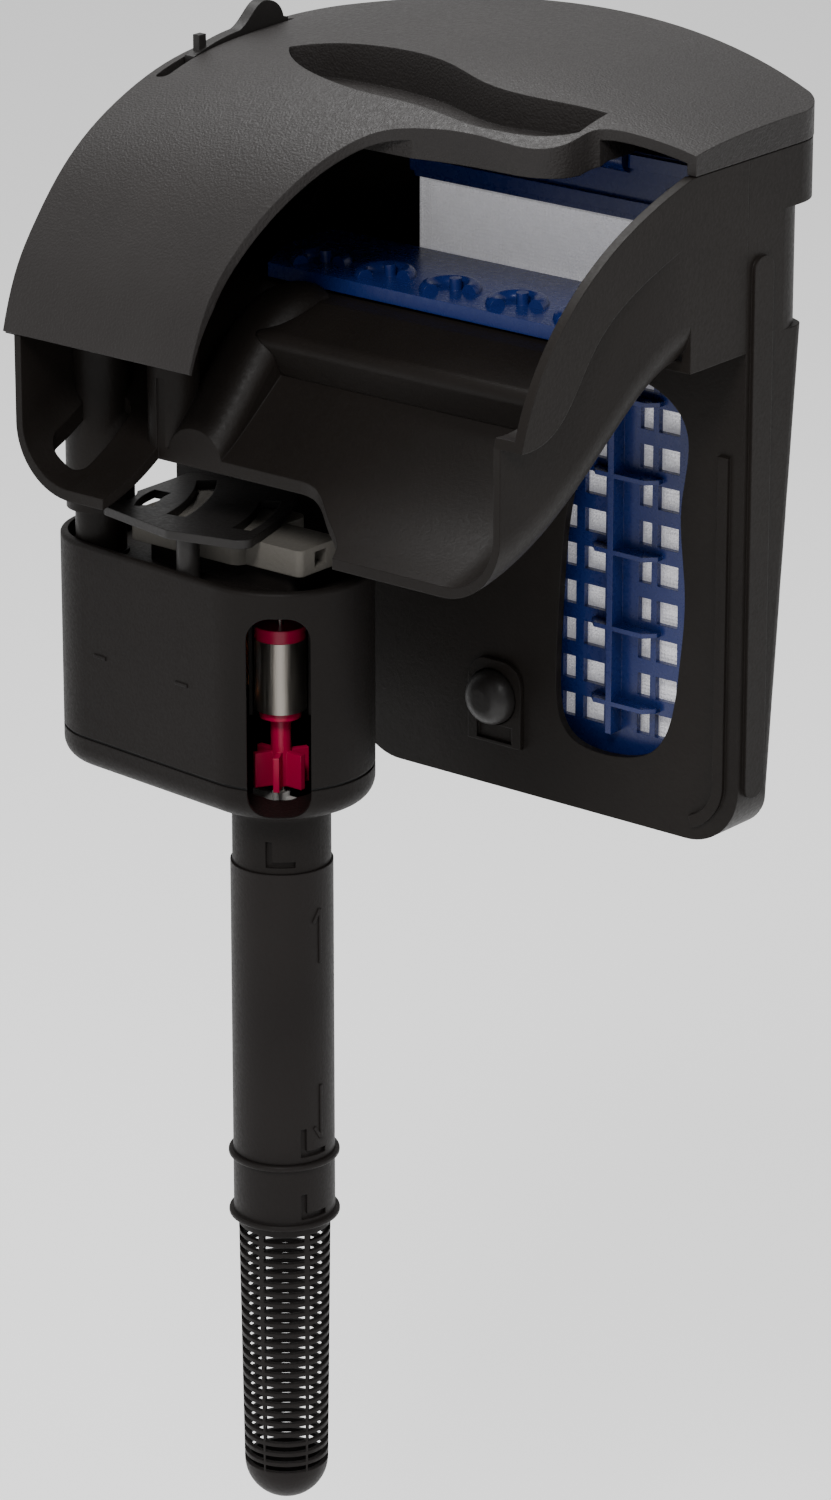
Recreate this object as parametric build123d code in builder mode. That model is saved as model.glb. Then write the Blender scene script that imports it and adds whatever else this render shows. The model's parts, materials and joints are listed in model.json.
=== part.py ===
"""Hang-on-back aquarium filter, sectioned so that its inside shows.

Frame: millimetres, +Z up, X along the tank wall, +Y away from the tank. The origin is the middle of the rim seat,
the flat underside of the bridge that rests on the top of the tank wall.
"""

import os
from math import cos, radians, sin, sqrt

from build123d import *

os.makedirs("parts", exist_ok=True)

# Hood and chamber
HOOD_HALF = 93.0
WALL = 3.0
SEAM_Z = 55.3
LID_GAP = 0.3
LID_END_Z = 64.0
LID_CROWN = 10.0
BACK_BOW = 21.0
LID_BACK = 52.0
HOLLOW_FOOT = -20.0
COLLAR_Z = 38.0
COLLAR_BACK = 51.0
BACK_TOP = 43.0
BACK_BOTTOM = 30.0
FRONT_Y = 16.0
CHAMBER_WALL = 2.5
CHAMBER_LEFT = -49.0
CHAMBER_RIGHT = 93.0
CHAMBER_BOTTOM = -148.0
CHAMBER_CORNER = 18.0
BRIDGE_T = 3.0
BACK_CORNER = 15.0
RIB_PROUD = 1.2
KNOB_X = 5.0
KNOB_Z = -120.0
KNOB_R = 8.2

# Spillway
LIP_Y = -87.0
LIP_Z = -51.0
CHEEK_INSET = 7.5
CUT_REAR_Y = -61.0
RIDGE_W = 20.0
PILLAR_X = -57.0
PILLAR_Y = -54.0
PILLAR_R = 7.5
BRACKET_T = 2.0

# Uptake duct
DUCT_X = -87.5
DUCT_Y = -52.0
DUCT_R = 10.0
DUCT_BORE = 7.8
DUCT_FOOT = -76.0
DUCT_SHOULDER = -63.0
SPIGOT_R = 7.5
DUCT_RUN_X = -78.0
DUCT_TURN_Z = -10.0
DUCT_RUN_Z = 22.0
DUCT_MOUTH_Y = 24.0
DUCT_BEND = 14.0
LEVER_X = -87.0
SHUTTER_TOP = 31.0
FLANGE_T = 4.2
CLIP_PITCH = 24.0
CARBON_BOX = (-27, 68, 28.2, 30.4, -108, 24)

# Pump
TUBE_X = -29.0
TUBE_Y = -41.0
PUMP_R = 27.0
PUMP_END_X = -84.0
PUMP_END_R = 22.0
PUMP_TOP = -72.0
PUMP_SEAM = -132.0
PUMP_FLOOR = -142.0
PUMP_WALL = 2.2
HOUSING_FOOT = -131.2
OUTLET_R = 7.0
OUTLET_BORE = 5.6
CLIP_Z = -62.0
CLIP_POST_X = -46.7
CLIP_POST_Y = -60.5
DECK_Z = -77.0
DECK_T = 2.5
SECTION_TURN = 39.0
SECTION_W = 18.4
SECTION_TOP = -79.6
SECTION_FLOOR = -140.4

# Rotor
WELL_R = 9.2
WELL_T = 1.2
WELL_TOP = -81.0
WELL_FOOT = -118.0
SHAFT_R = 1.2
MAGNET_R = 7.6
MAGNET_TOP = -94.0
MAGNET_FOOT = -115.5
VANE_TOP = -128.5
VANE_FOOT = -139.0
VANE_R = 7.75
HUB_R = 3.0
SHAFT_FOOT = -142.5
BUSH_FOOT = -145.0

# Intake
NECK_R = 14.5
NECK_FOOT = -162.0
STUB_R = 12.6
STUB_FOOT = -182.0
THROAT_R = 10.5
PAN_FLOOR = -139.8
TUBE_R = 15.1
TUBE_BORE = 12.9
TUBE_FOOT = -253.5
COUPLER_FOOT = -274.5
BEAD_R = 16.5
STRAINER_R = 13.7
STRAINER_END_R = 12.6
STRAINER_END_Z = -355.4
STRAINER_T = 1.4
SLOT_ROWS = 24
SLOT_PITCH = 3.3
SLOT_H = 2.1
SLOT_COLUMNS = 6


def finish(part, name):
    """Names a piece and writes its file."""
    part.label = name
    export_step(part, f"parts/{name}.step")


def back_y(x, ends, bow=BACK_BOW):
    """Y of the bowed back wall at x, where ends is its Y at both ends of the hood."""
    radius = (HOOD_HALF**2 + bow**2) / (2 * bow)
    return ends + bow - radius + sqrt(radius**2 - x**2)


def chamber_plan(left, right, front, ends, plane, corner):
    """Plan of the chamber: a straight front, straight sides and a bowed back with round corners."""
    middle = (left + right) / 2
    with BuildSketch(plane) as plan:
        with BuildLine():
            Polyline((left, back_y(left, ends)), (left, front), (right, front), (right, back_y(right, ends)))
            ThreePointArc(
                (right, back_y(right, ends)), (middle, back_y(middle, ends)), (left, back_y(left, ends))
            )
        make_face()
        fillet([v for v in plan.vertices() if v.Y > front + 1], corner)
    return plan.sketch


def rounded_front(radius, inset):
    """Block behind the front outline of the lower chamber, whose bottom corners are round."""
    height = BRIDGE_T - CHAMBER_BOTTOM - inset
    with BuildPart() as block:
        with BuildSketch(Plane.XZ.offset(-FRONT_Y - 100)):
            with Locations(((CHAMBER_LEFT + CHAMBER_RIGHT) / 2, BRIDGE_T - height / 2)):
                corners = Rectangle(CHAMBER_RIGHT - CHAMBER_LEFT - 2 * inset, height)
            fillet(corners.vertices().group_by(Axis.Y)[0], radius)
        extrude(amount=120)
    return block.part


def pump_outline(shrink, plane):
    """Plan of the pump: a wide round end about the intake, a narrower one at the riser."""
    with BuildSketch(plane) as plan:
        with BuildLine():
            CenterArc((TUBE_X + 0.5, TUBE_Y), PUMP_R - shrink, 0, 360)
            CenterArc((PUMP_END_X, TUBE_Y), PUMP_END_R - shrink, 0, 360)
        make_hull()
    return plan.sketch


# Stations of the spillway floor: y, z, reach to the left, reach to the right and corner radius
FLOOR_STATIONS = [
    (-10, 0.0, 93.0, 93.0, 14.0), (-27, -11.0, 92.8, 92.4, 20.0), (-45, -28.5, 92.2, 90.6, 23.0),
    (-66, -44.0, 91.2, 88.2, 22.0), (LIP_Y, LIP_Z, 89.4, HOOD_HALF - CHEEK_INSET, 20.0),
]
# Top edge of the cheeks, then the line below it where the raised rim band ends, as (y, z)
CHEEK_TOP = [(-85, -5), (-71.2, 21.2), (-53, 37.5), (-23, 51.6), (-10, SEAM_Z)]
BAND_LINE = [(-10, 37.5), (-22.3, 33.6), (-52.8, 17.1), (-68, -0.7), (LIP_Y + 2, -5)]


def trough(inset, top, overrun):
    """Loft through the floor stations; inset gives the inside, overrun carries it past the front lip."""
    stations = [
        (y - inset * 0.5, z + inset * 0.95, left - inset, right - inset, r - inset)
        for y, z, left, right, r in FLOOR_STATIONS
    ]
    stations[0] = (FLOOR_STATIONS[0][0], inset) + stations[0][2:]
    if overrun:
        y, z, left, right, radius = stations[-1]
        stations[-1] = (y - overrun, z - overrun / 8, left, right, radius)
    with BuildPart() as body:
        for y, z, left, right, radius in stations:
            with BuildSketch(Plane.XZ.offset(-y)):
                with Locations(((right - left) / 2, (top + z) / 2)):
                    corners = Rectangle(left + right, top - z)
                fillet(corners.vertices().group_by(Axis.Y)[0], radius)
        loft()
    return body.part


def side_region(lower, upper, half):
    """Slab across the width, between a lower line of (y, z) points run forward and an upper one run back."""
    with BuildPart() as slab:
        with BuildSketch(Plane.YZ.offset(-half)):
            with BuildLine():
                Spline(*lower)
                if lower[-1] != upper[0]:
                    Line(lower[-1], upper[0])
                Spline(*upper)
                Line(upper[-1], lower[0])
            make_face()
        extrude(amount=2 * half)
    return slab.part


def duct_solid(radius):
    """The U-shaped uptake duct, swept along its centre line."""
    with BuildPart() as duct:
        with BuildLine() as route:
            FilletPolyline(
                (DUCT_X, DUCT_Y, DUCT_SHOULDER),
                (DUCT_X, DUCT_Y, DUCT_TURN_Z),
                (DUCT_RUN_X, DUCT_Y + 5, DUCT_RUN_Z),
                (DUCT_RUN_X, DUCT_MOUTH_Y, DUCT_RUN_Z),
                radius=DUCT_BEND,
            )
        with BuildSketch(Plane(origin=(DUCT_X, DUCT_Y, DUCT_SHOULDER), z_dir=(0, 0, 1))):
            Circle(radius)
        sweep(path=route.line)
    return duct.part


def section_prism(top=SECTION_TOP):
    """The upright opening cut through the pump towards its front right."""
    turn = radians(SECTION_TURN)
    face = Plane(
        origin=(TUBE_X, TUBE_Y, (top + SECTION_FLOOR) / 2),
        x_dir=(cos(turn), sin(turn), 0),
        z_dir=(sin(turn), -cos(turn), 0),
    )
    with BuildPart() as opening:
        with BuildSketch(face):
            RectangleRounded(SECTION_W, top - SECTION_FLOOR, 7)
        extrude(amount=60)
    return opening.part


UPTAKE = duct_solid(DUCT_R)
OPENING = section_prism()


def post(x, y, z0, z1, radius):
    """Upright cylinder between two heights."""
    with BuildPart() as pin:
        with BuildSketch(Plane.XY.offset(z0)):
            with Locations((x, y)):
                Circle(radius)
        extrude(amount=z1 - z0)
    return pin.part


def slab(x0, x1, y0, y1, z0, z1, radius=0):
    """Block between two corners; radius rounds its four upright edges."""
    with BuildPart() as block:
        with BuildSketch(Plane.XY.offset(z0)):
            with Locations(((x0 + x1) / 2, (y0 + y1) / 2)):
                if radius:
                    RectangleRounded(x1 - x0, y1 - y0, radius)
                else:
                    Rectangle(x1 - x0, y1 - y0)
        extrude(amount=z1 - z0)
    return block.part


def tube(x, y, z0, z1, outer, bore):
    """Upright tube between two heights."""
    with BuildPart() as pipe:
        with BuildSketch(Plane.XY.offset(z0)):
            with Locations((x, y)):
                Circle(outer)
                Circle(bore, mode=Mode.SUBTRACT)
        extrude(amount=z1 - z0)
    return pipe.part


def make_media_chamber():
    """Rear box: tapered lower chamber, full-width upper tray and collar under the lid."""
    window = [
        (61, -15.5), (73.5, -28), (71.6, -48), (73.2, -74), (71.6, -98), (63, -124), (48, -129),
        (31, -125), (27.4, -108), (28.4, -84), (31.3, -56), (37.5, -36), (46, -21),
    ]
    thin = CHAMBER_WALL
    with BuildPart() as chamber:
        for z, ends in ((CHAMBER_BOTTOM, BACK_BOTTOM), (BRIDGE_T, BACK_TOP)):
            add(chamber_plan(CHAMBER_LEFT, CHAMBER_RIGHT, FRONT_Y, ends, Plane.XY.offset(z), 5))
        loft()
        add(rounded_front(CHAMBER_CORNER, 0), mode=Mode.INTERSECT)
        add(chamber_plan(-HOOD_HALF, HOOD_HALF, FRONT_Y, BACK_TOP, Plane.XY, BACK_CORNER))
        extrude(amount=SEAM_Z)
        add(
            chamber_plan(
                -HOOD_HALF, HOOD_HALF, FRONT_Y, COLLAR_BACK, Plane.XY.offset(COLLAR_Z), BACK_CORNER
            )
        )
        extrude(amount=SEAM_Z - COLLAR_Z)
    with BuildPart() as hollow:
        for z, ends in ((CHAMBER_BOTTOM + thin, BACK_BOTTOM), (BRIDGE_T, BACK_TOP)):
            add(
                chamber_plan(
                    CHAMBER_LEFT + thin, CHAMBER_RIGHT - thin, FRONT_Y + thin, ends - thin,
                    Plane.XY.offset(z), 5 - thin,
                )
            )
        loft()
        add(rounded_front(CHAMBER_CORNER - thin, thin), mode=Mode.INTERSECT)
        add(
            chamber_plan(
                -HOOD_HALF + WALL, HOOD_HALF - WALL, FRONT_Y - 1, BACK_TOP - WALL,
                Plane.XY.offset(BRIDGE_T), BACK_CORNER - WALL,
            )
        )
        extrude(amount=SEAM_Z)
    with BuildPart() as part:
        add(chamber.part)
        add(hollow.part, mode=Mode.SUBTRACT)
        with BuildSketch(Plane.XZ.offset(-FRONT_Y - 10)):
            with BuildLine():
                Spline(*window, periodic=True)
            make_face()
        extrude(amount=30, mode=Mode.SUBTRACT)
        add(stiffening_rib())
        add(side_column())
    finish(part.part, "media_chamber")


def stiffening_rib():
    """Raised J-shaped rib on the front face, near its free edge."""
    with BuildPart() as rib:
        with BuildSketch(Plane.XZ.offset(-FRONT_Y)):
            with BuildLine() as route:
                Line((86.5, -31), (86.5, -130))
                RadiusArc((86.5, -130), (77, -142), 14)
            trace(route.line, 3.6)
        extrude(amount=RIB_PROUD)
    return rib.part


def side_column():
    """Shallow pilaster down the free side, with a round top."""
    with BuildPart() as column:
        with BuildSketch(Plane.YZ.offset(CHAMBER_RIGHT)):
            with Locations((FRONT_Y + 6.5, (CHAMBER_BOTTOM + 42) / 2)):
                RectangleRounded(9, 28 - CHAMBER_BOTTOM - 16, 4)
        extrude(amount=RIB_PROUD)
    return column.part


def divider_wall():
    """Round-topped wall that parts the spillway from the bay around the uptake duct."""
    crest = [(-66, -35, -43.5), (-55, -23, -43), (-45, -10, -42), (-33, 2.5, -40), (-17, 5, -37)]
    with BuildPart() as wall:
        for y, top, x in crest:
            foot = top - 24
            with BuildSketch(Plane.XZ.offset(-y)):
                with Locations((x, (top + foot) / 2)):
                    sides = Rectangle(RIDGE_W, top - foot)
                fillet(sides.vertices().group_by(Axis.Y)[-1], RIDGE_W / 2 - 0.5)
        loft()
    return wall.part


def make_spillway():
    """Hood sides and the curved floor that carries the water back over the rim."""
    band_top = [(y, z + WALL) for y, z in BAND_LINE]
    clear = 90.0
    depth = FRONT_Y - BAND_LINE[0][0]
    envelope = trough(0, 45, 0)
    with BuildPart() as apron_gap:
        with BuildSketch(Plane.XY.offset(-62)):
            with BuildLine():
                Polyline((30, LIP_Y - 9), (-57, LIP_Y - 9), (-57, CUT_REAR_Y), (-4, CUT_REAR_Y))
                Spline((-4, CUT_REAR_Y), (12, -69), (24, -79), (30, LIP_Y - 9), tangents=((1, 0), (0.2, -1)))
            make_face()
        extrude(amount=45)
    with BuildPart() as ridges:
        add(divider_wall())
        add(post(PILLAR_X, PILLAR_Y, -60, 20, PILLAR_R))
        add(trough(0.5, 45, 0), mode=Mode.INTERSECT)
    with BuildPart() as part:
        add(envelope)
        add(side_region([(y, z - 80) for y, z in BAND_LINE], BAND_LINE[::-1], HOOD_HALF), mode=Mode.INTERSECT)
        add(side_region(BAND_LINE, CHEEK_TOP, HOOD_HALF))
        with BuildSketch(Plane.XZ.offset(-FRONT_Y)):
            with Locations((0, SEAM_Z / 2)):
                Rectangle(2 * HOOD_HALF, SEAM_Z)
        extrude(amount=depth)
        add(trough(WALL, clear, 10), mode=Mode.SUBTRACT)
        add(
            side_region(band_top, [(y, z + clear) for y, z in BAND_LINE[::-1]], HOOD_HALF - WALL),
            mode=Mode.SUBTRACT,
        )
        with BuildSketch(Plane.XZ.offset(-FRONT_Y - 1)):
            with Locations((0, BRIDGE_T + clear / 2)):
                Rectangle(2 * (HOOD_HALF - WALL), clear)
        extrude(amount=depth + 2, mode=Mode.SUBTRACT)
        add(ridges.part)
        add(apron_gap.part, mode=Mode.SUBTRACT)
        add(post(DUCT_X, DUCT_Y, -62, -37, DUCT_R + 1.6), mode=Mode.SUBTRACT)
        add(slab(-85, -73, -77, DUCT_Y, -62, -26, 4), mode=Mode.SUBTRACT)
        add(UPTAKE, mode=Mode.SUBTRACT)
    finish(part.part, "spillway")


def make_pump_bracket():
    """Plate under the spillway floor, close behind the pump, that steadies it."""
    with BuildPart() as part:
        with BuildSketch(Plane.XZ.offset(13.5 - BRACKET_T)):
            with Locations((-48.5, -39)):
                plate = Rectangle(87, 80)
            fillet(plate.vertices().group_by(Axis.Y)[0], 10)
        extrude(amount=BRACKET_T)
        add(trough(0, 45, 0), mode=Mode.SUBTRACT)
    finish(part.part, "pump_bracket")


def make_spill_lip():
    """Bent plate at the top of the spillway that the water falls from."""
    thick = 2.0
    with BuildPart() as part:
        with BuildSketch(Plane.YZ.offset(-44)):
            with BuildLine() as bend:
                FilletPolyline((-14.5, 1.2), (-22, 0.6), (-41, -5.5), (-35, -20.5), radius=2.5)
            trace(bend.line, thick)
        extrude(amount=HOOD_HALF + 44)
        with BuildSketch(Plane.XZ.offset(30)):
            with BuildLine():
                Polyline((-46, -30), (-36, -30), (-36, -17), (-46, -5), (-46, -30))
            make_face()
        extrude(amount=30, mode=Mode.SUBTRACT)
        add(trough(WALL + 0.02, 40, 0), mode=Mode.INTERSECT)
        add(divider_wall(), mode=Mode.SUBTRACT)
    body = part.part.solids().sort_by(SortBy.VOLUME)[-1]
    finish(Part(body.wrapped), "spill_lip")


# Top of the lid in its end section, from the front edge back, as (y, z)
LID_PROFILE = [
    (-86, -4.2), (-83.5, 4), (-78.6, 15), (-71.5, 25), (-62.8, 35), (-51.5, 44.5), (-36, 53), (-12.7, 60.6),
    (10.4, 63.3), (34, 64),
]


def lid_section(x, inset, reach):
    """Lid profile in the plane at x; inset moves it inward, reach is the part of the crown it has."""
    top = []
    for y, z in LID_PROFILE:
        rise = min(1.0, (z - LID_PROFILE[0][1]) / (LID_END_Z - LID_PROFILE[0][1]))
        lean = cos(radians(90) * (1 - rise))
        top.append((y + inset * (1 - 0.75 * lean), z + LID_CROWN * reach * rise**1.5 - inset * (0.25 + 0.75 * lean)))
    back = back_y(x, LID_BACK) - inset
    last = (back, LID_END_Z + LID_CROWN * reach - inset)
    if inset:
        foot = (back, HOLLOW_FOOT)
        front = (top[0][0], HOLLOW_FOOT)
        lower = [foot, front]
    else:
        lower = [(back, SEAM_Z + LID_GAP)] + [(y, z + LID_GAP) for y, z in reversed(CHEEK_TOP)]
    with BuildSketch(Plane.YZ.offset(x)) as section:
        with BuildLine():
            Spline(*top, last)
            Line(last, lower[0])
            Line(lower[0], lower[1])
            if not inset:
                Spline(*lower[1:])
            Line(lower[-1], top[0])
        make_face()
    return section.sketch


def lid_trim(inset):
    """Upright block on the lid's plan, with its round back corners."""
    half = HOOD_HALF - inset
    with BuildPart() as block:
        add(chamber_plan(-half, half, LIP_Y - 9, LID_BACK - inset, Plane.XY.offset(-30), BACK_CORNER + 2 - inset))
        extrude(amount=120)
    return block.part


def crescent(z0, z1):
    """Upright block on the plan of the finger recess."""
    rear = [(-56, -3), (-47.5, 1), (-29, 3), (-12, 1.7), (2.7, -2), (20, -8.4), (32, -9.4), (43, -8), (60, -5)]
    front = [(60, -18), (50, -25), (40, -27), (31, -27.6), (20, -26.5), (7, -25), (-11, -24), (-27, -21), (-44, -14)]
    with BuildPart() as block:
        with BuildSketch(Plane.XY.offset(z0)):
            with BuildLine():
                Spline(*rear)
                Line(rear[-1], front[0])
                Spline(*front, rear[0])
            make_face()
        extrude(amount=z1 - z0)
    return block.part


def make_lid():
    """Lid shell with its front right cut away, the finger recess and the slot for the flow lever."""
    cut_edge = [
        (-24, -92), (-23, -85), (-19.7, -73), (-12.6, -60.6), (-2.3, -45), (4.5, -38), (15.7, -33.6),
        (31, -31), (44, -30.7), (55, -29), (60.5, -24), (63, -15), (74, -10), (88, -8.7), (99, -9),
    ]
    with BuildPart() as shell:
        for x in (-HOOD_HALF, 0, HOOD_HALF):
            add(lid_section(x, 0, 1 - (x / HOOD_HALF) ** 2))
        loft()
        add(lid_trim(0), mode=Mode.INTERSECT)
    inner_half = HOOD_HALF - WALL
    with BuildPart() as hollow:
        for x in (-inner_half, 0, inner_half):
            add(lid_section(x, WALL, 1 - (x / HOOD_HALF) ** 2))
        loft()
        add(lid_trim(WALL), mode=Mode.INTERSECT)
        add(slab(-62, 64, -34, 8, 53, 90, 8), mode=Mode.SUBTRACT)
    with BuildPart() as sampled:
        with BuildSketch(Plane.XY.offset(-40)):
            with BuildLine():
                Spline(*cut_edge)
                Polyline(cut_edge[-1], (99, -92), cut_edge[0])
            make_face()
        extrude(amount=140)
    with BuildPart() as recess:
        add(crescent(40, 90))
        with BuildSketch(Plane.YZ.offset(-80)):
            with BuildLine():
                Polyline((-40, 57.5), (10, 60.5), (10, 95), (-40, 95), (-40, 57.5))
            make_face()
        extrude(amount=170, mode=Mode.INTERSECT)
    slot = slab(LEVER_X - 2.5, LEVER_X + 2.5, -24, 34, 30, 95, 2)
    body = shell.part - hollow.part - recess.part - slot - sampled.part
    finish(body, "lid")


def make_uptake_duct():
    """U-shaped duct from the pump over the rim, with a flow port in its top run."""
    with BuildPart() as part:
        add(UPTAKE)
        add(post(DUCT_X, DUCT_Y, DUCT_FOOT, DUCT_SHOULDER + 2, SPIGOT_R))
        add(duct_solid(DUCT_BORE), mode=Mode.SUBTRACT)
        add(post(DUCT_X, DUCT_Y, DUCT_SHOULDER, DUCT_SHOULDER + 2, DUCT_R))
        add(post(DUCT_X, DUCT_Y, DUCT_FOOT - 1, DUCT_SHOULDER + 3, OUTLET_BORE), mode=Mode.SUBTRACT)
        add(slab(DUCT_RUN_X - 3.5, DUCT_RUN_X + 3.5, -6, 12, DUCT_RUN_Z + 2, DUCT_RUN_Z + 20, 3), mode=Mode.SUBTRACT)
    finish(part.part, "uptake_duct")


def make_level_plate():
    """Plate on the chamber front that guides the levelling knob."""
    with BuildPart() as part:
        with BuildSketch(Plane.XZ.offset(-FRONT_Y)):
            with Locations((KNOB_X + 0.7, KNOB_Z - 1.5)):
                plate = Rectangle(19.5, 26)
            fillet(plate.vertices().group_by(Axis.Y)[-1], 7)
            with Locations((KNOB_X, KNOB_Z)):
                Circle(KNOB_R + 0.4, mode=Mode.SUBTRACT)
        extrude(amount=1.4)
        with BuildSketch(Plane.XZ.offset(-FRONT_Y + 1.4)):
            with Locations((KNOB_X + 0.7, KNOB_Z - 11)):
                Rectangle(13, 5)
        extrude(amount=-1, mode=Mode.SUBTRACT)
    finish(part.part, "level_plate")


def make_level_knob():
    """Domed knob that is pressed out against the tank wall to level the filter."""
    dome = 5.5
    with BuildPart() as part:
        with BuildSketch(Plane.XZ.offset(-FRONT_Y + 0.2)):
            with Locations((KNOB_X, KNOB_Z)):
                Circle(KNOB_R)
        extrude(amount=1.6 + dome)
        fillet(part.edges().group_by(Axis.Y)[0], dome - 0.2)
    finish(part.part, "level_knob")


def make_flow_slider():
    """Lever in the lid's slot: strip, fin, small hook and the stem down to the shutter."""
    half = 1.8
    with BuildPart() as part:
        with BuildSketch(Plane.YZ.offset(LEVER_X - half)):
            with BuildLine():
                Spline((-11, 62.4), (2, 65.6), (9, 66.4))
                Spline((9, 66.4), (14, 69.5), (19, 73), (25, 72.2), (29, 67.2))
                Polyline((29, 67.2), (31, 66.6), (31, 60), (-11, 58.6), (-11, 62.4))
            make_face()
        extrude(amount=2 * half)
        add(slab(LEVER_X - 1.5, LEVER_X + 1.5, 5, 15, SHUTTER_TOP, 62))
        add(slab(LEVER_X - 1.2, LEVER_X + 1.2, -8, -5, 60, 68))
    with BuildPart() as body:
        add(part.part)
        add(shutter_ring(), mode=Mode.SUBTRACT)
    finish(body.part, "flow_slider")


def shutter_ring():
    """Full ring that the shutter is the upper part of."""
    with BuildPart() as ring:
        with BuildSketch(Plane.XZ.offset(8)):
            with Locations((DUCT_RUN_X, DUCT_RUN_Z)):
                Circle(DUCT_R + 1.6)
                Circle(DUCT_R + 0.3, mode=Mode.SUBTRACT)
        extrude(amount=-24)
    return ring.part


def make_flow_shutter():
    """Curved plate that slides along the duct over its port."""
    with BuildPart() as part:
        add(shutter_ring())
        split(bisect_by=Plane.XY.offset(DUCT_RUN_Z + 2))
    finish(part.part, "flow_shutter")


def make_cartridge_frame():
    """Blue frame that clamps the top of the floss bag, with its boss, rail and clips."""
    with BuildPart() as part:
        add(slab(-35, 84, 26.8, 33, 28, 48, 1.5))
        add(slab(-32.5, 81.5, 27.6, 32.2, 27, 46.5, 1), mode=Mode.SUBTRACT)
        add(slab(-35, 84, 25, 26.8, 30, 34, 0.8))
        with BuildSketch(Plane.YZ.offset(32)):
            with Locations((27, 46)):
                Circle(4.4)
        extrude(amount=12)
        add(slab(44, 72, 24.6, 29, 43.5, 47.5, 1.5))
        add(slab(26, 32, 23.5, 27, 42, 47, 1))
        for x in (-12, 58, 74):
            with BuildSketch(Plane.XZ.offset(-26.8)):
                with Locations((x, 37.5)):
                    Circle(1.7)
                    Circle(0.8, mode=Mode.SUBTRACT)
            extrude(amount=1.4)
    finish(part.part, "cartridge_frame")


def make_floss_bag():
    """Flat bag of filter floss, round at its lower corners."""
    with BuildPart() as part:
        with BuildSketch(Plane.XZ.offset(-31.4)):
            with Locations((20.5, -51.5)):
                cloth = Rectangle(109, 158)
            fillet(cloth.vertices().group_by(Axis.Y)[0], 24)
        extrude(amount=4.4)
        add(slab(*CARBON_BOX, 1), mode=Mode.SUBTRACT)
    finish(part.part, "floss_bag")


def make_carbon_fill():
    """Carbon held inside the floss bag."""
    finish(slab(*CARBON_BOX, 1), "carbon_fill")


def make_bio_grid():
    """Blue grid behind the chamber front, with shelves and a flange that rests on the bridge."""
    left, right, foot = -42.0, 86.0, -132.0
    with BuildPart() as part:
        with BuildSketch(Plane.XZ.offset(-26)):
            with Locations(((left + right) / 2, (foot + BRIDGE_T) / 2)):
                sheet = Rectangle(right - left, BRIDGE_T - foot)
            fillet(sheet.vertices().group_by(Axis.Y)[0], 13)
            rows = [-16.5 - 11.5 * step for step in range(10)]
            for column in (-30, -12, 6, 26, 35, 53, 61, 75):
                width = 7.5 if column in (26, 35, 53, 61) else 11
                with Locations([(column, row) for row in rows]):
                    Rectangle(width if column not in (26, 53) else 4.5, 7, mode=Mode.SUBTRACT)
        extrude(amount=1.8)
        add(slab(43, 45, 19.2, 25, foot + 8, BRIDGE_T))
        for step in range(5):
            add(shelf(44, 19.2, -23.4 - 23 * step))
        with BuildSketch(Plane.XY.offset(BRIDGE_T)):
            with BuildLine():
                Polyline((-55, -14.6), (53, -15.6), (78.5, -15.6), (78.5, 26), (-64, 26), (-65, 6), (-55, -14.6))
            make_face()
        extrude(amount=FLANGE_T)
        for step in range(6):
            add(clip_loop(-44 + CLIP_PITCH * step, -4, BRIDGE_T + FLANGE_T))
    finish(part.part, "bio_grid")


def shelf(x, y0, z):
    """Small round-cornered shelf with its web, standing out from the grid."""
    with BuildPart() as step:
        with BuildSketch(Plane.XY.offset(z)):
            with BuildLine():
                Polyline((x - 8.5, 25), (x - 8.5, y0 + 3), (x - 5.5, y0), (x + 12, y0), (x + 15, y0 + 3))
                Polyline((x + 15, y0 + 3), (x + 15, 25), (x - 8.5, 25))
            make_face()
        extrude(amount=1.4)
    return step.part


def clip_loop(x, y, z):
    """Raised loop and post on the flange."""
    with BuildPart() as loop:
        with BuildSketch(Plane.XZ.offset(-y)):
            with Locations((x + 6.6, z)):
                Circle(2.5)
        revolve(axis=Axis((x, y, z), (0, 0, 1)), revolution_arc=250)
        add(slab(x - 40, x + 40, y - 40, y + 40, z - 20, z), mode=Mode.SUBTRACT)
        add(post(x + 1, y + 1, z, z + 3.4, 1.8))
    return loop.part


def make_pump_housing():
    """Pump shell with a rim round its deck, opened at the front right."""
    thin = PUMP_WALL
    with BuildPart() as part:
        add(pump_outline(0, Plane.XY.offset(HOUSING_FOOT)))
        extrude(amount=PUMP_TOP - HOUSING_FOOT)
        fillet(part.edges().group_by(Axis.Z)[-1], 1.2)
        add(pump_outline(thin, Plane.XY.offset(HOUSING_FOOT)))
        extrude(amount=PUMP_TOP - HOUSING_FOOT, mode=Mode.SUBTRACT)
        add(OPENING, mode=Mode.SUBTRACT)
        for z in (-84, -101, -118):
            add(slab(-110, -102.5, -60, -25, z, z + 2.2), mode=Mode.SUBTRACT)
    finish(part.part, "pump_housing")


def make_pump_deck():
    """Deck inside the rim, with the outlet socket for the uptake duct."""
    with BuildPart() as part:
        add(pump_outline(PUMP_WALL, Plane.XY.offset(DECK_Z - DECK_T)))
        extrude(amount=DECK_T)
        add(post(DUCT_X, DUCT_Y, DECK_Z - 5, DECK_Z + 5, OUTLET_BORE), mode=Mode.SUBTRACT)
        add(slab(-72, -18, -49, -37, DECK_Z, -70, 2))
    finish(part.part, "pump_deck")


def make_outlet_pipe():
    """Pipe inside the pump from the impeller chamber up to the duct."""
    finish(tube(DUCT_X, DUCT_Y, HOUSING_FOOT + 2, DECK_Z - DECK_T, OUTLET_R, OUTLET_BORE), "outlet_pipe")


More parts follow.
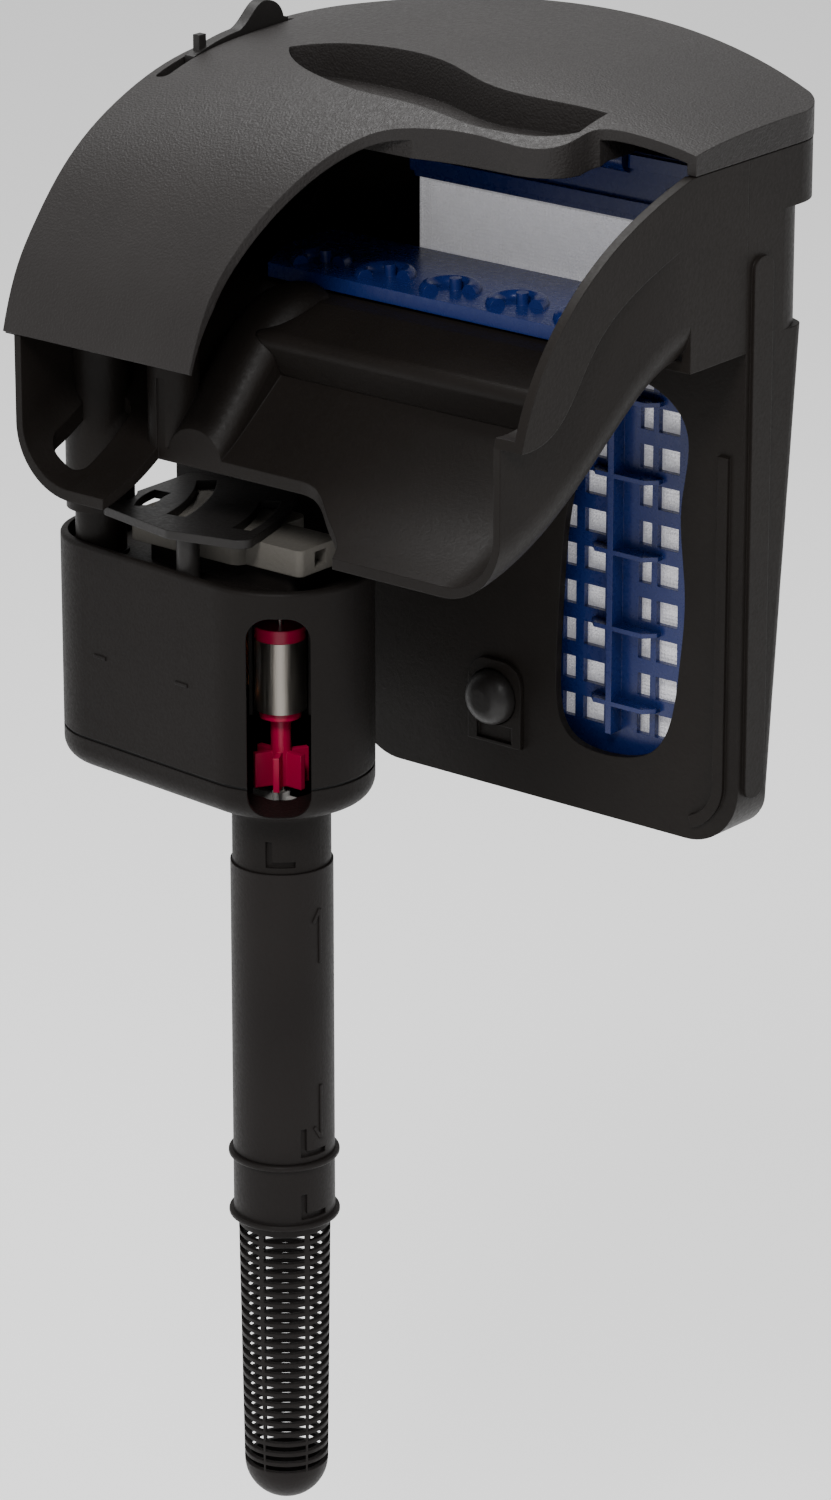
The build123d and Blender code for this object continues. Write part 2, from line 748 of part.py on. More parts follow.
def make_duct_gasket():
    """Soft ring between the duct's foot and the deck."""
    finish(tube(DUCT_X, DUCT_Y, DECK_Z, DUCT_FOOT, SPIGOT_R + 0.7, OUTLET_BORE), "duct_gasket")


def make_damper_block():
    """Rubber block on the deck under the retaining clip, with a square socket in its end."""
    with BuildPart() as part:
        add(slab(-74, -12, -52, -34, -70, -62.2, 2))
        add(slab(-75, -32, -55, -24, -70, -62.2, 4))
        add(slab(-16, -10, -45.5, -40.5, -68.2, -63.8), mode=Mode.SUBTRACT)
    finish(part.part, "damper_block")


def make_retaining_clip():
    """Flat clip plate over the damper, with curved slots."""
    with BuildPart() as part:
        with BuildSketch(Plane.XY.offset(CLIP_Z)):
            with BuildLine():
                Polyline((-80, -61), (-49, -67), (-24, -61), (-31, -38), (-41, -18), (-57, -15), (-80, -20), (-80, -61))
            make_face()
            fillet(vertices(), 4)
            for near, middle, far in (
                ((-69, -54), (-72.5, -47), (-74, -40)),
                ((-56, -55), (-61, -40), (-71, -24)),
                ((-33, -53), (-37, -40), (-44, -27)),
            ):
                with BuildLine(mode=Mode.PRIVATE) as slot:
                    ThreePointArc(near, middle, far)
                trace(slot.line, 6, mode=Mode.SUBTRACT)
        extrude(amount=2.6)
        add(post(DUCT_X, DUCT_Y, CLIP_Z - 1, CLIP_Z + 5, DUCT_R + 0.6), mode=Mode.SUBTRACT)
    body = part.part.solids().sort_by(SortBy.VOLUME)[-1]
    finish(Part(body.wrapped), "retaining_clip")


def make_clip_post():
    """Post that carries the clip."""
    finish(post(CLIP_POST_X, CLIP_POST_Y, DECK_Z + 1.2, CLIP_Z, 3.4), "clip_post")


def make_post_washer():
    """Pale washer under the post."""
    finish(post(CLIP_POST_X, CLIP_POST_Y, DECK_Z, DECK_Z + 1.2, 2.6), "post_washer")


def make_cable_gland():
    """Gland in the deck where the power lead would enter."""
    finish(tube(-97, -33, DECK_Z, DECK_Z + 9, 3.6, 2.0), "cable_gland")


def make_rotor_well():
    """Thin closed cup that keeps the water away from the windings."""
    with BuildPart() as part:
        add(post(TUBE_X, TUBE_Y, WELL_FOOT, WELL_TOP, WELL_R))
        add(post(TUBE_X, TUBE_Y, WELL_FOOT, WELL_TOP - WELL_T, WELL_R - WELL_T), mode=Mode.SUBTRACT)
        add(section_prism(SECTION_TOP - 2), mode=Mode.SUBTRACT)
    finish(part.part, "rotor_well")


def make_rotor_shaft():
    """Fixed shaft that the rotor turns on."""
    finish(post(TUBE_X, TUBE_Y, SHAFT_FOOT, WELL_TOP - WELL_T - 1.5, SHAFT_R), "rotor_shaft")


def make_upper_bush():
    """Bush that holds the shaft at the top of the well."""
    finish(post(TUBE_X, TUBE_Y, WELL_TOP - WELL_T - 1.5, WELL_TOP - WELL_T, 3), "upper_bush")


def make_lower_bush():
    """Bush and spider in the cap's throat that steady the lower end of the shaft."""
    with BuildPart() as part:
        add(tube(TUBE_X, TUBE_Y, BUSH_FOOT, SHAFT_FOOT + 1.2, 2.6, SHAFT_R + 0.05))
        for side in (-1, 1):
            x0, x1 = sorted((TUBE_X + side * 2.4, TUBE_X + side * (THROAT_R - 0.2)))
            add(slab(x0, x1, TUBE_Y - 0.9, TUBE_Y + 0.9, BUSH_FOOT, SHAFT_FOOT))
    finish(part.part, "lower_bush")


def make_stator():
    """U-shaped lamination pack with a winding on each leg."""
    leg = 5.4
    low, high = -112.0, -99.0
    with BuildPart() as core:
        add(slab(-80, -75, -57, -25, low, high))
        for sign in (-1, 1):
            middle = TUBE_Y + sign * 12.9
            tip = -42 if sign < 0 else -22
            add(slab(-75, tip, middle - leg / 2, middle + leg / 2, low, high))
        add(post(TUBE_X, TUBE_Y, low - 1, high + 1, WELL_R + 0.05), mode=Mode.SUBTRACT)
    finish(core.part, "stator_core")
    for sign, name in ((-1, "front_coil"), (1, "rear_coil")):
        middle = TUBE_Y + sign * 12.9
        with BuildPart() as coil:
            add(slab(-73, -47, middle - 5.4, middle + 5.4, low - 3, high + 3, 2))
            add(slab(-80, -40, middle - leg / 2, middle + leg / 2, low, high), mode=Mode.SUBTRACT)
        finish(coil.part, name)


def make_rotor():
    """Magnet with its end disc, and the impeller on its stem."""
    bore = SHAFT_R + 0.05
    finish(tube(TUBE_X, TUBE_Y, MAGNET_FOOT, MAGNET_TOP, MAGNET_R, bore), "rotor_magnet")
    finish(tube(TUBE_X, TUBE_Y, MAGNET_TOP, MAGNET_TOP + 4, MAGNET_R - 0.1, bore), "magnet_disc")
    with BuildPart() as impeller:
        add(tube(TUBE_X, TUBE_Y, VANE_FOOT, MAGNET_FOOT, HUB_R, bore))
        add(tube(TUBE_X, TUBE_Y, MAGNET_FOOT - 2.5, MAGNET_FOOT, 6.2, bore))
        with BuildSketch(Plane.XY.offset(VANE_FOOT)):
            with Locations((TUBE_X, TUBE_Y)):
                with PolarLocations((HUB_R + VANE_R) / 2, 6):
                    Rectangle(VANE_R - HUB_R + 1, 1.8)
        extrude(amount=VANE_TOP - VANE_FOOT)
        add(post(TUBE_X, TUBE_Y, VANE_FOOT - 1, MAGNET_FOOT, bore), mode=Mode.SUBTRACT)
    finish(impeller.part, "impeller")


def make_pump_cap():
    """Pan under the pump with the impeller chamber, the neck and its stub for the intake tube."""
    with BuildPart() as part:
        add(pump_outline(0, Plane.XY.offset(PUMP_FLOOR)))
        extrude(amount=PUMP_SEAM - PUMP_FLOOR)
        fillet(part.edges().group_by(Axis.Z)[0], 6.5)
        add(post(TUBE_X, TUBE_Y, NECK_FOOT, PUMP_FLOOR + 1, NECK_R))
        fillet(part.edges().filter_by(GeomType.CIRCLE).group_by(Axis.Z)[1], 4)
        add(pump_outline(PUMP_WALL, Plane.XY.offset(PAN_FLOOR)))
        extrude(amount=PUMP_SEAM - PAN_FLOOR, mode=Mode.SUBTRACT)
        add(post(TUBE_X, TUBE_Y, STUB_FOOT, NECK_FOOT, STUB_R))
        add(post(TUBE_X, TUBE_Y, STUB_FOOT - 1, PAN_FLOOR + 1, THROAT_R), mode=Mode.SUBTRACT)
        add(OPENING, mode=Mode.SUBTRACT)
        add(twist_groove(NECK_FOOT + 2, 8, -65, NECK_R), mode=Mode.SUBTRACT)
    finish(part.part, "pump_cap")


def make_cap_gasket():
    """Thin seal in the seam between the pump and its cap."""
    with BuildPart() as part:
        add(pump_outline(0.5, Plane.XY.offset(PUMP_SEAM)))
        extrude(amount=HOUSING_FOOT - PUMP_SEAM)
        add(pump_outline(PUMP_WALL, Plane.XY.offset(PUMP_SEAM)))
        extrude(amount=HOUSING_FOOT - PUMP_SEAM, mode=Mode.SUBTRACT)
        add(OPENING, mode=Mode.SUBTRACT)
    finish(part.part, "cap_gasket")


def twist_groove(z, rise, turn, radius):
    """L-shaped bayonet groove in a tube's skin, up from z, with a foot that runs round to one side."""
    with BuildPart() as groove:
        for angle, width, height in ((turn, 1.8, rise), (turn + 14, 8.5, 1.8)):
            with BuildSketch(Plane.XY.offset(z)):
                with Locations((TUBE_X, TUBE_Y)):
                    with PolarLocations(radius, 1, start_angle=angle):
                        Rectangle(6, width)
            extrude(amount=height)
        add(tube(TUBE_X, TUBE_Y, z, z + rise, radius + 3, radius - 1), mode=Mode.INTERSECT)
    return groove.part


def make_extension_tube():
    """Intake tube that slips over the pump's stub."""
    with BuildPart() as part:
        add(tube(TUBE_X, TUBE_Y, TUBE_FOOT, NECK_FOOT, TUBE_R, TUBE_BORE))
        add(twist_groove(TUBE_FOOT + 2, 9, -27, TUBE_R), mode=Mode.SUBTRACT)
    finish(part.part, "extension_tube")


def make_coupler():
    """Beaded collar between the tube and the strainer, with a spigot up into the tube."""
    with BuildPart() as part:
        add(tube(TUBE_X, TUBE_Y, COUPLER_FOOT, TUBE_FOOT, TUBE_R, TUBE_BORE))
        for z in (TUBE_FOOT, COUPLER_FOOT + 1.8):
            add(tube(TUBE_X, TUBE_Y, z - 1.8, z, BEAD_R, TUBE_BORE))
        fillet(part.edges().filter_by(GeomType.CIRCLE).filter_by(lambda edge: edge.radius > BEAD_R - 0.1), 0.7)
        add(tube(TUBE_X, TUBE_Y, TUBE_FOOT - 3, TUBE_FOOT, TUBE_BORE + 0.5, THROAT_R))
        add(tube(TUBE_X, TUBE_Y, TUBE_FOOT, TUBE_FOOT + 12, STUB_R, THROAT_R))
        add(twist_groove(COUPLER_FOOT + 3, 8, -27, TUBE_R), mode=Mode.SUBTRACT)
    finish(part.part, "coupler")


def make_strainer():
    """Slotted intake basket with a round end and a spigot up into the coupler."""
    with BuildPart() as part:
        for shrink, mode in ((0, Mode.ADD), (STRAINER_T, Mode.SUBTRACT)):
            with BuildSketch(Plane.XZ.offset(-TUBE_Y)):
                with BuildLine():
                    low = (TUBE_X, STRAINER_END_Z - STRAINER_END_R + shrink)
                    side = (TUBE_X + STRAINER_END_R - shrink, STRAINER_END_Z)
                    RadiusArc(low, side, -(STRAINER_END_R - shrink))
                    Polyline(side, (TUBE_X + STRAINER_R - shrink, COUPLER_FOOT), (TUBE_X, COUPLER_FOOT), low)
                make_face()
            revolve(axis=Axis((TUBE_X, TUBE_Y, 0), (0, 0, 1)), mode=mode)
        add(tube(TUBE_X, TUBE_Y, COUPLER_FOOT, COUPLER_FOOT + 11, STUB_R, STRAINER_R - STRAINER_T - 0.5))
        with BuildSketch(Plane.XY.offset(COUPLER_FOOT - 3 - SLOT_H)):
            with Locations((TUBE_X, TUBE_Y)):
                with PolarLocations(STRAINER_R - 1, SLOT_COLUMNS, start_angle=9):
                    Rectangle(8, 12)
        extrude(amount=SLOT_H, mode=Mode.SUBTRACT)
        slots = part.part
    with BuildPart() as rings:
        for row in range(SLOT_ROWS):
            with BuildSketch(Plane.XY.offset(COUPLER_FOOT - 3 - SLOT_H - SLOT_PITCH * row)):
                with Locations((TUBE_X, TUBE_Y)):
                    with PolarLocations(STRAINER_R - 1, SLOT_COLUMNS, start_angle=9):
                        Rectangle(8, 12)
            extrude(amount=SLOT_H)
    finish(slots - rings.part, "strainer")


if __name__ == "__main__":
    make_media_chamber()
    make_spillway()
    make_pump_bracket()
    make_spill_lip()
    make_lid()
    make_uptake_duct()
    make_level_plate()
    make_level_knob()
    make_flow_slider()
    make_flow_shutter()
    make_cartridge_frame()
    make_floss_bag()
    make_carbon_fill()
    make_bio_grid()
    make_pump_housing()
    make_pump_deck()
    make_outlet_pipe()
    make_duct_gasket()
    make_damper_block()
    make_retaining_clip()
    make_clip_post()
    make_post_washer()
    make_cable_gland()
    make_rotor_well()
    make_rotor_shaft()
    make_upper_bush()
    make_lower_bush()
    make_stator()
    make_rotor()
    make_pump_cap()
    make_cap_gasket()
    make_extension_tube()
    make_coupler()
    make_strainer()
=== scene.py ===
"""Studio view of the sectioned hang-on-back aquarium filter, built round its CAD frame."""

import json
from math import cos, exp, pi, radians, sin, sqrt

import bpy
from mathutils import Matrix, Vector


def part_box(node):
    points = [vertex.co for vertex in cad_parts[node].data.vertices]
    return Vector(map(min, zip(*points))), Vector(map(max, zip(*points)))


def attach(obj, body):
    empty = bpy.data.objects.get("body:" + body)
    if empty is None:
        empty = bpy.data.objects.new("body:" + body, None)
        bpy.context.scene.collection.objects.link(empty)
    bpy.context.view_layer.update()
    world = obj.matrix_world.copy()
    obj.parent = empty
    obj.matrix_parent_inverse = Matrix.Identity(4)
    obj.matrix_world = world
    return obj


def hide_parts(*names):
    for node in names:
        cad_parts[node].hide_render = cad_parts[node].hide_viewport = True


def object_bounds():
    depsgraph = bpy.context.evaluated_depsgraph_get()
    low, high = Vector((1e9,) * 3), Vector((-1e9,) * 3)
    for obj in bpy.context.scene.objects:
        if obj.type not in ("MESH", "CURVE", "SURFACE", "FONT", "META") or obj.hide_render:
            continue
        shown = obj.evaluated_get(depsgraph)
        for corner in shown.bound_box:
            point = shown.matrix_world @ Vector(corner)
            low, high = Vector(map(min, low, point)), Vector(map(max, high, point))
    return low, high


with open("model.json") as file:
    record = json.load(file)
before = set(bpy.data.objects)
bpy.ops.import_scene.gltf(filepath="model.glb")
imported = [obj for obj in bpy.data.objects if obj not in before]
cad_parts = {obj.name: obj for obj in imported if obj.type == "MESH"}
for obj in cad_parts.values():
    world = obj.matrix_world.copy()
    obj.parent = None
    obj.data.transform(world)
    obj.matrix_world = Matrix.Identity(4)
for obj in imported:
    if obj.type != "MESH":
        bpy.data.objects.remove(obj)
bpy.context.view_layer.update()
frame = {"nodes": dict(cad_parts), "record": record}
NODES = frame["nodes"]

MM = 0.001

# Camera: its angles in degrees, its place in metres and its lens in millimetres
AZIMUTH = 39.0
ELEVATION = 20.0
CAMERA_AT = (1.0464, -1.3071, 0.4757)
LENS = 146.4

# Stage
FLOOR_SIZE = 30
FLOOR_DROP = 0.18  # the pump, cap, tube and basket come down by 130 mm when all are pulled off
FLOOR_GREY = 0.90
FLOOR_GLOW = 0.3
WORLD_STRENGTH = 0.62
AIM = (0, 0, -0.1)
LIGHTS = (  # name, place, size, watts
    ("key", (-0.55, 0.25, 1.5), (0.9, 0.9), 30),
    ("side", (1.15, -0.45, 1.0), (0.4, 0.4), 5),
    ("front_right", (0.55, -1.15, 1.15), (0.4, 0.4), 22),
    ("left", (-1.5, -0.7, 0.3), (0.35, 1.0), 2),
)

# Floss bag
BAG_CORNER = 24 * MM
QUILT_PITCH = 15 * MM
HEM_WIDTH = 2.4 * MM
HEM_RISE = 1.8 * MM  # distance over which the bag swells to its full thickness inside the hem
HEM_THICKNESS = 0.12  # of the half thickness, as are the next two
SEAM_THICKNESS = 0.06
QUILT_LOW = 0.70
FULL_GRID = (130, 180)

# Raised marks
MARK_WIDTH = 1.0 * MM
MARK_LIFT = 0.4 * MM
ARROW_ANGLE = -4.0  # degrees round the tube
BARB_STEP = (3.2, 1.3 * MM)  # degrees round the tube, and metres back along the stem
ARROW_UP = (29 * MM, 12 * MM)  # start and end below the top of the tube
ARROW_DOWN = (24 * MM, 7 * MM)  # start and end above the foot of the tube
LEVEL_DROP = 33 * MM  # below the top of the pump
LEVEL_MARKS = {"level_mark_left": (-81 * MM, -76 * MM), "level_mark_right": (-47 * MM, -42 * MM)}
PUMP_LEFT_RADIUS = 22 * MM


# ---------------------------------------------------------------- materials

def shader(name, colour, roughness, **sockets):
    """A material with a Principled shader; returns its node tree, shader and material."""
    material = bpy.data.materials.new(name)
    material.use_nodes = True
    tree = material.node_tree
    bsdf = tree.nodes["Principled BSDF"]
    bsdf.inputs["Base Color"].default_value = (*colour, 1)
    bsdf.inputs["Roughness"].default_value = roughness
    for key, value in sockets.items():
        bsdf.inputs[key.replace("_", " ")].default_value = value
    return tree, bsdf, material


def coordinates(tree, scale=(1, 1, 1)):
    """Object coordinates, scaled."""
    source = tree.nodes.new("ShaderNodeTexCoord")
    mapping = tree.nodes.new("ShaderNodeMapping")
    mapping.inputs["Scale"].default_value = scale
    tree.links.new(source.outputs["Object"], mapping.inputs["Vector"])
    return mapping.outputs["Vector"]


def noise(tree, vector, scale, detail=3.0, rough=0.55):
    """Noise value over the given coordinates."""
    node = tree.nodes.new("ShaderNodeTexNoise")
    node.inputs["Scale"].default_value = scale
    node.inputs["Detail"].default_value = detail
    node.inputs["Roughness"].default_value = rough
    tree.links.new(vector, node.inputs["Vector"])
    return node.outputs["Fac"]


def remap(tree, value, low, high, start=0.3, end=0.7):
    """Value mapped from start..end to low..high."""
    node = tree.nodes.new("ShaderNodeMapRange")
    node.inputs["From Min"].default_value = start
    node.inputs["From Max"].default_value = end
    node.inputs["To Min"].default_value = low
    node.inputs["To Max"].default_value = high
    tree.links.new(value, node.inputs["Value"])
    return node.outputs["Result"]


def tint(tree, factor, dark, light):
    """Colour between dark and light."""
    node = tree.nodes.new("ShaderNodeMix")
    node.data_type = "RGBA"
    tree.links.new(factor, node.inputs["Factor"])
    node.inputs[6].default_value = (*dark, 1)
    node.inputs[7].default_value = (*light, 1)
    return node.outputs[2]


def combine(tree, operation, first, second):
    """Two values through one Math node."""
    node = tree.nodes.new("ShaderNodeMath")
    node.operation = operation
    tree.links.new(first, node.inputs[0])
    tree.links.new(second, node.inputs[1])
    return node.outputs[0]


def bump(tree, bsdf, height, strength, distance):
    """Bump from a height value, on top of any bump already there."""
    node = tree.nodes.new("ShaderNodeBump")
    node.inputs["Strength"].default_value = strength
    node.inputs["Distance"].default_value = distance
    tree.links.new(height, node.inputs["Height"])
    if bsdf.inputs["Normal"].is_linked:
        tree.links.new(bsdf.inputs["Normal"].links[0].from_socket, node.inputs["Normal"])
    tree.links.new(node.outputs["Normal"], bsdf.inputs["Normal"])


def soft_edges(tree, bsdf, radius=0.5 * MM):
    """Small rounding of every edge, in the shading only."""
    node = tree.nodes.new("ShaderNodeBevel")
    node.samples = 4
    node.inputs["Radius"].default_value = radius
    tree.links.new(node.outputs["Normal"], bsdf.inputs["Normal"])


def clouded(tree, bsdf, here, scale, dark, light):
    """Base colour that drifts softly between dark and light."""
    cloud = remap(tree, noise(tree, here, scale), 0, 1)
    tree.links.new(tint(tree, cloud, dark, light), bsdf.inputs["Base Color"])


def moulded(name, dark, light, roughness, grain, strength=0.35, gloss=0.5, rounding=0.5 * MM):
    """Moulded plastic or rubber; roughness is lowest and highest, grain is scale and depth in metres."""
    tree, bsdf, material = shader(name, dark, roughness[0], Specular_IOR_Level=gloss)
    soft_edges(tree, bsdf, rounding)
    here = coordinates(tree)
    clouded(tree, bsdf, here, 18.0, dark, light)
    fine = noise(tree, here, grain[0], detail=2.0)
    tree.links.new(remap(tree, fine, *roughness), bsdf.inputs["Roughness"])
    bump(tree, bsdf, fine, strength, grain[1])
    return material


def leather_grain(name, dark, light):
    """Lid plastic with a leather-like grain of small cells."""
    tree, bsdf, material = shader(name, dark, 0.5, Specular_IOR_Level=0.26)
    soft_edges(tree, bsdf)
    here = coordinates(tree)
    clouded(tree, bsdf, here, 14.0, dark, light)
    cells = tree.nodes.new("ShaderNodeTexVoronoi")
    cells.feature = "SMOOTH_F1"
    cells.inputs["Scale"].default_value = 1500
    cells.inputs["Randomness"].default_value = 1.0
    tree.links.new(here, cells.inputs["Vector"])
    bump(tree, bsdf, cells.outputs["Distance"], 0.45, 0.3 * MM)
    bump(tree, bsdf, noise(tree, here, 2600, detail=3), 0.35, 0.2 * MM)
    tree.links.new(remap(tree, noise(tree, here, 700), 0.42, 0.6), bsdf.inputs["Roughness"])
    return material


def brushed(name, colour, roughness, along):
    """Turned or drawn metal with fine lines; along is the direction that the lines run."""
    tree, bsdf, material = shader(name, colour, roughness, Metallic=1.0)
    here = coordinates(tree, [1.0 if axis == along else 30.0 for axis in "xyz"])
    lines = noise(tree, here, 60.0)
    tree.links.new(remap(tree, lines, roughness - 0.06, roughness + 0.1), bsdf.inputs["Roughness"])
    light = tuple(min(1.0, c * 1.25) for c in colour)
    tree.links.new(tint(tree, remap(tree, lines, 0, 1), colour, light), bsdf.inputs["Base Color"])
    bump(tree, bsdf, lines, 0.12, 0.2 * MM)
    return material


def threads(tree, here, direction):
    """Wavering threads that cross the given direction."""
    wave = tree.nodes.new("ShaderNodeTexWave")
    wave.bands_direction = direction
    wave.inputs["Scale"].default_value = 260
    wave.inputs["Distortion"].default_value = 2.5
    wave.inputs["Detail"].default_value = 2.0
    wave.inputs["Detail Scale"].default_value = 3.0
    tree.links.new(here, wave.inputs["Vector"])
    return wave.outputs["Fac"]


def woven(name, dark, light, painted_glow):
    """White needled cloth: crossed threads and fibres; its emission is a painted glow that lifts the cloth
    out of the shade it sits in.
    """
    # the emission set here is a painted glow, not a lamp
    tree, bsdf, material = shader(name, light, 0.92, Specular_IOR_Level=0.2, Emission_Strength=painted_glow)
    bsdf.inputs["Emission Color"].default_value = (*light, 1)
    here = coordinates(tree)
    weave = combine(tree, "MULTIPLY", threads(tree, here, "X"), threads(tree, here, "Z"))
    fibres = noise(tree, here, 420, detail=6.0, rough=0.7)
    cloth = combine(tree, "ADD", weave, fibres)
    tree.links.new(tint(tree, remap(tree, cloth, 0, 1, 0.3, 1.2), dark, light), bsdf.inputs["Base Color"])
    bump(tree, bsdf, cloth, 0.6, 0.6 * MM)
    return material


LID = leather_grain("lid_plastic", (0.0130, 0.0112, 0.0106), (0.0180, 0.0158, 0.0150))
CASE = moulded(
    "case_plastic", (0.0072, 0.0058, 0.0050), (0.0098, 0.0079, 0.0068),
    roughness=(0.40, 0.52), grain=(900, 0.2 * MM), gloss=0.12,
)
PUMP = moulded(
    "pump_plastic", (0.0068, 0.0056, 0.0050), (0.0092, 0.0076, 0.0068),
    roughness=(0.45, 0.60), grain=(1100, 0.2 * MM), gloss=0.10,
)
INTAKE = moulded(
    "intake_plastic", (0.0095, 0.0080, 0.0075), (0.0125, 0.0105, 0.0098),
    roughness=(0.42, 0.55), grain=(1000, 0.2 * MM), gloss=0.10,
)
CONTROL = moulded(
    "control_plastic", (0.0090, 0.0080, 0.0075), (0.0120, 0.0106, 0.0100),
    roughness=(0.36, 0.50), grain=(900, 0.15 * MM), gloss=0.3,
)
BLUE = moulded(
    "blue_plastic", (0.006, 0.015, 0.095), (0.008, 0.020, 0.118),
    roughness=(0.24, 0.32), grain=(500, 0.03 * MM), strength=0.02, gloss=0.45, rounding=0.2 * MM,
)
CRIMSON = moulded(
    "crimson_plastic", (0.33, 0.0006, 0.036), (0.40, 0.0012, 0.048),
    roughness=(0.30, 0.42), grain=(700, 0.1 * MM), strength=0.2, gloss=0.35,
)
DAMPER = moulded(
    "damper_rubber", (0.088, 0.081, 0.070), (0.108, 0.100, 0.087),
    roughness=(0.60, 0.75), grain=(800, 0.3 * MM), strength=0.5, gloss=0.3,
)
GASKET = moulded(
    "gasket_rubber", (0.008, 0.008, 0.008), (0.012, 0.012, 0.012),
    roughness=(0.60, 0.75), grain=(700, 0.2 * MM), gloss=0.25,
)
CERAMIC = moulded(
    "bush_ceramic", (0.36, 0.35, 0.33), (0.44, 0.43, 0.41),
    roughness=(0.25, 0.35), grain=(400, 0.1 * MM), strength=0.15,
)
CARBON = moulded(
    "carbon_granules", (0.006, 0.006, 0.006), (0.02, 0.02, 0.02),
    roughness=(0.5, 0.8), grain=(260, 2 * MM), strength=0.8,
)
MAGNET = brushed("magnet_steel", (0.30, 0.275, 0.245), 0.36, "z")
SHAFT = brushed("shaft_steel", (0.62, 0.58, 0.54), 0.2, "z")
STEEL = brushed("lamination_steel", (0.16, 0.16, 0.17), 0.5, "x")
COPPER = brushed("copper_winding", (0.55, 0.22, 0.09), 0.35, "y")
# the floss's emission is a painted glow, lifting the cloth out of its shade
FLOSS = woven("floss_cloth", (0.84, 0.83, 0.88), (0.95, 0.94, 0.97), painted_glow=0.20)

SKINS = {
    "lid_plastic": LID, "case_plastic": CASE, "pump_plastic": PUMP, "intake_plastic": INTAKE,
    "control_plastic": CONTROL, "blue_plastic": BLUE, "floss": FLOSS, "carbon": CARBON,
    "damper_rubber": DAMPER, "gasket_rubber": GASKET, "magnet_steel": MAGNET, "crimson_plastic": CRIMSON,
    "shaft_steel": SHAFT, "bush_ceramic": CERAMIC, "lamination_steel": STEEL, "copper_winding": COPPER,
}
for entry in frame["record"]["subparts"]:
    NODES[entry["node"]].data.materials.clear()
    NODES[entry["node"]].data.materials.append(SKINS[entry["material_slot"]])


# ---------------------------------------------------------------- pieces

def mesh_piece(name, verts, faces, material, body, smooth=True):
    """A mesh object that rides on a CAD body."""
    mesh = bpy.data.meshes.new(name)
    mesh.from_pydata(verts, [], faces)
    mesh.materials.append(material)
    mesh.polygons.foreach_set("use_smooth", [smooth] * len(mesh.polygons))
    mesh.update()
    piece = bpy.data.objects.new(name, mesh)
    bpy.context.collection.objects.link(piece)
    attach(piece, body)
    return piece


def bag_swell(x, z, edge):
    """Share of the bag's half thickness at x, z; edge is the distance from its nearest sewn edge."""
    if edge == 0:
        return SEAM_THICKNESS
    quilt = abs(sin(pi * (x + z) / QUILT_PITCH) * sin(pi * (x - z) / QUILT_PITCH)) ** 0.45
    inside = max(0.0, edge - HEM_WIDTH)
    hem = HEM_THICKNESS + (1 - HEM_THICKNESS) * (1 - exp(-inside / HEM_RISE))
    ripple = 0.97 + 0.03 * sin(x * 900) * sin(z * 700)
    return hem * (QUILT_LOW + (1 - QUILT_LOW) * quilt) * ripple


def bag_verts(columns, rows):
    """Points of the bag's front and back: rows of points from its rounded foot to its open top."""
    low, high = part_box("floss_bag")
    half, middle = (high[0] - low[0]) / 2, (high[0] + low[0]) / 2
    deep, centre = (high[1] - low[1]) / 2, (high[1] + low[1]) / 2
    tall = high[2] - low[2]
    verts = []
    for side in (-1, 1):
        for row in range(rows + 1):
            up = tall * row / rows
            reach = half - BAG_CORNER + sqrt(BAG_CORNER**2 - max(0.0, BAG_CORNER - up) ** 2)
            for column in range(columns + 1):
                across = -1 + 2 * column / columns
                x, z = middle + across * reach, low[2] + up
                edge = min((1 - abs(across)) * reach, up)
                verts.append((x, centre + side * deep * bag_swell(x, z, edge), z))
    return verts


def bag_faces(columns, rows):
    """Faces of the bag's front and back, and the strip that joins them all round."""
    width = columns + 1
    layer = width * (rows + 1)
    faces = []
    for row in range(rows):
        for column in range(columns):
            a = row * width + column
            front = (a, a + 1, a + width + 1, a + width)
            faces.append(front)
            faces.append(tuple(layer + i for i in reversed(front)))
    rim = [*range(width), *(row * width + columns for row in range(1, rows + 1))]
    rim += [rows * width + column for column in range(columns - 1, -1, -1)]
    rim += [row * width for row in range(rows - 1, 0, -1)]
    for a, b in zip(rim, rim[1:] + rim[:1]):
        faces.append((b, a, layer + a, layer + b))
    return faces


def make_floss():
    """Quilted bag of floss with a flat hem, in place of the plain CAD slab."""
    grid = FULL_GRID
    bag = mesh_piece("floss_cloth", bag_verts(*grid), bag_faces(*grid), FLOSS, "cartridge")
    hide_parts("floss_bag")


def raised_mark(name, points, material, body, normal_of):
    """Raised line along points that lie on a surface; normal_of gives the outward direction at a point."""
    verts, faces = [], []
    path = [Vector(point) for point in points]
    for index, here in enumerate(path):
        ahead = path[min(index + 1, len(path) - 1)] - path[max(index - 1, 0)]
        out = Vector(normal_of(here)).normalized()
        side = ahead.cross(out).normalized() * MARK_WIDTH / 2
        rise = out * MARK_LIFT
        verts += [here - side - rise, here - side + rise, here + side + rise, here + side - rise]
    for index in range(len(path) - 1):
        a = 4 * index
        for k in range(4):
            faces.append((a + k, a + (k + 1) % 4, a + 4 + (k + 1) % 4, a + 4 + k))
    faces += [(3, 2, 1, 0), tuple(len(verts) - 4 + k for k in range(4))]
    return mesh_piece(name, verts, faces, material, body, smooth=False)


